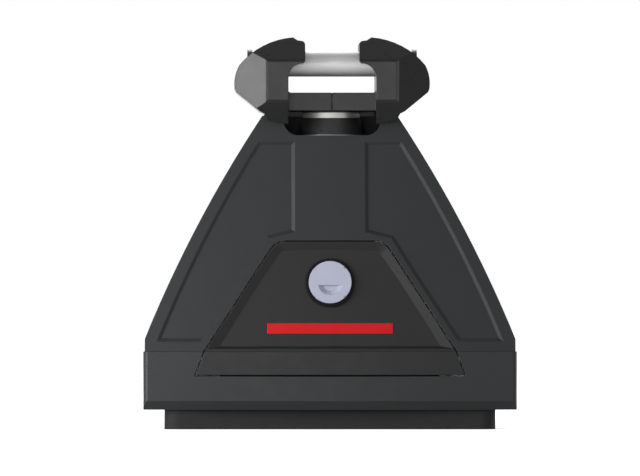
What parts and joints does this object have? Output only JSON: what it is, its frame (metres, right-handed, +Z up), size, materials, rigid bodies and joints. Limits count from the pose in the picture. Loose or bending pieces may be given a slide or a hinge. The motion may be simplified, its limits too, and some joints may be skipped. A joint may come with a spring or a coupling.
{
  "type": "roof rack foot",
  "caption": "Lockable roof rack foot: moulded cover with an access door on a rubber pad, and a swivelling head whose two faceted jaws clamp a crossbar.",
  "frame": {"origin": "centre of the rubber pad's underside", "axes": "+X along the roof track, +Z up; -Y is the side with the lockable door, which faces away from the middle of the car"},
  "size_m": [0.1488, 0.068, 0.1562],
  "materials": {
    "pad_rubber": "matte",
    "cover_plastic": "fine grain",
    "door_plastic": "fine grain",
    "dark_plastic": "satin",
    "jaw_coat": "satin powder coat",
    "cast_metal": "as cast",
    "zinc_steel": "zinc plated",
    "bright_steel": "bright",
    "lock_disc": "satin"
  },
  "bodies": {
    "base": {"base_pad": "pad_rubber", "base_plate": "zinc_steel", "tower_frame": "cast_metal", "tower_bolts": "zinc_steel", "front_cover": "cover_plastic", "rear_cover": "cover_plastic", "cover_screws": "zinc_steel", "door_pins": "bright_steel", "swivel_bush": "dark_plastic", "swivel_cone": "dark_plastic"},
    "head": {"swivel_washer": "bright_steel", "head_carrier": "zinc_steel", "swivel_bolt": "zinc_steel", "disc_spring": "bright_steel"},
    "left_jaw": {"left_jaw": "jaw_coat"},
    "right_jaw": {"right_jaw": "jaw_coat"},
    "clamp_rod": {"clamp_rod": "bright_steel", "rod_cap_left": "dark_plastic", "rod_cap_right": "dark_plastic"},
    "door": {"access_door": "door_plastic", "lock_housing": "dark_plastic", "lock_nut": "zinc_steel"},
    "lock": {"lock_core": "lock_disc", "lock_cam": "zinc_steel", "lock_screw": "zinc_steel"}
  },
  "joints": [
    {"name": "head_swivel", "type": "hinge", "parent": "base", "child": "head", "pos_m": [0.0009, 0, 0.11], "axis": [0, 0, 1], "range_deg": [-7, 7]},
    {"name": "left_jaw_slide", "type": "slide", "parent": "head", "child": "left_jaw", "axis": [-1, 0, 0], "range_m": [0, 0.0068]},
    {"name": "right_jaw_slide", "type": "slide", "parent": "head", "child": "right_jaw", "axis": [1, 0, 0], "range_m": [0, 0.0068]},
    {"name": "clamp_rod_spin", "type": "hinge", "parent": "head", "child": "clamp_rod", "pos_m": [0.0009, -0.013, 0.1456], "axis": [1, 0, 0], "range_deg": [0, 1633]},
    {"name": "door_hinge", "type": "hinge", "parent": "base", "child": "door", "pos_m": [0, -0.02774, 0.0281], "axis": [1, 0, 0], "range_deg": [0, 85]},
    {"name": "lock_turn", "type": "hinge", "parent": "door", "child": "lock", "pos_m": [0, -0.02858, 0.0586], "axis": [0, -0.9851, 0.1719], "range_deg": [0, 90]}
  ],
  "couplings": [
    {"joint": "left_jaw_slide", "follows": "right_jaw_slide", "ratio": 1},
    {"joint": "clamp_rod_spin", "follows": "right_jaw_slide", "rad_per_m": 4188.8}
  ]
}
